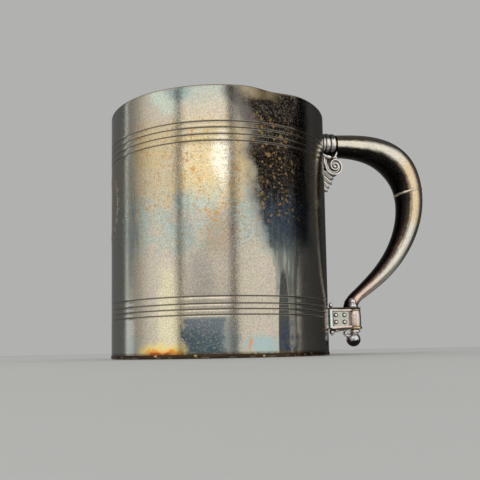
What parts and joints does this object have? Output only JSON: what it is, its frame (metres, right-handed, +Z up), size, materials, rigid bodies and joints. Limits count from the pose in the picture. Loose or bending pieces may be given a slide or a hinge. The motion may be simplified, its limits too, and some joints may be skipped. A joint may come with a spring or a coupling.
{
  "type": "presentation mug",
  "caption": "Silver-plated one-handled presentation mug with turned ring lines, a hollow swan-neck handle, a reeded and scrolled upper mount and a riveted lower mount with a ball finial",
  "frame": {"origin": "centre of the flat underside of the base, on the mug's own axis", "axes": "+Z up along the mug's axis, +X from the axis out through the handle, +Y square to both"},
  "size_m": [0.1146, 0.0737, 0.081],
  "materials": {
    "tarnished_plate": "polished silver plate, heavily tarnished brown and black with iridescent blue and gold film",
    "worn_plate": "silver-plated casting, bright on the high points and dark in the recesses",
    "solder": "bright warm solder line",
    "bare_base_metal": "dark oxidised base metal with flecks of gold"
  },
  "bodies": {
    "root": {"body_wall": "tarnished_plate", "base_disc": "bare_base_metal", "base_solder_fillet": "solder", "upper_back_plate": "tarnished_plate", "reeded_collar": "worn_plate", "scroll_bracket": "worn_plate", "calyx_leaf": "worn_plate", "leaf_drop": "worn_plate", "handle_upper_tube": "tarnished_plate", "handle_lower_tube": "tarnished_plate", "handle_joint_solder": "solder", "handle_joint_sleeve": "bare_base_metal", "handle_elbow": "worn_plate", "lower_back_plate": "tarnished_plate", "block_flange": "worn_plate", "strap_block": "worn_plate", "block_rivet_1": "worn_plate", "block_rivet_2": "worn_plate", "block_rivet_3": "worn_plate", "block_rivet_4": "worn_plate", "top_bead": "worn_plate", "pendant_drop": "worn_plate", "apron_moulding": "worn_plate", "apron_curl": "worn_plate", "barrel_top_ring": "solder", "knuckle_barrel": "worn_plate", "barrel_bottom_ring": "solder", "finial_collar": "worn_plate", "ball_finial": "worn_plate", "finial_pin": "bare_base_metal"}
  },
  "joints": []
}
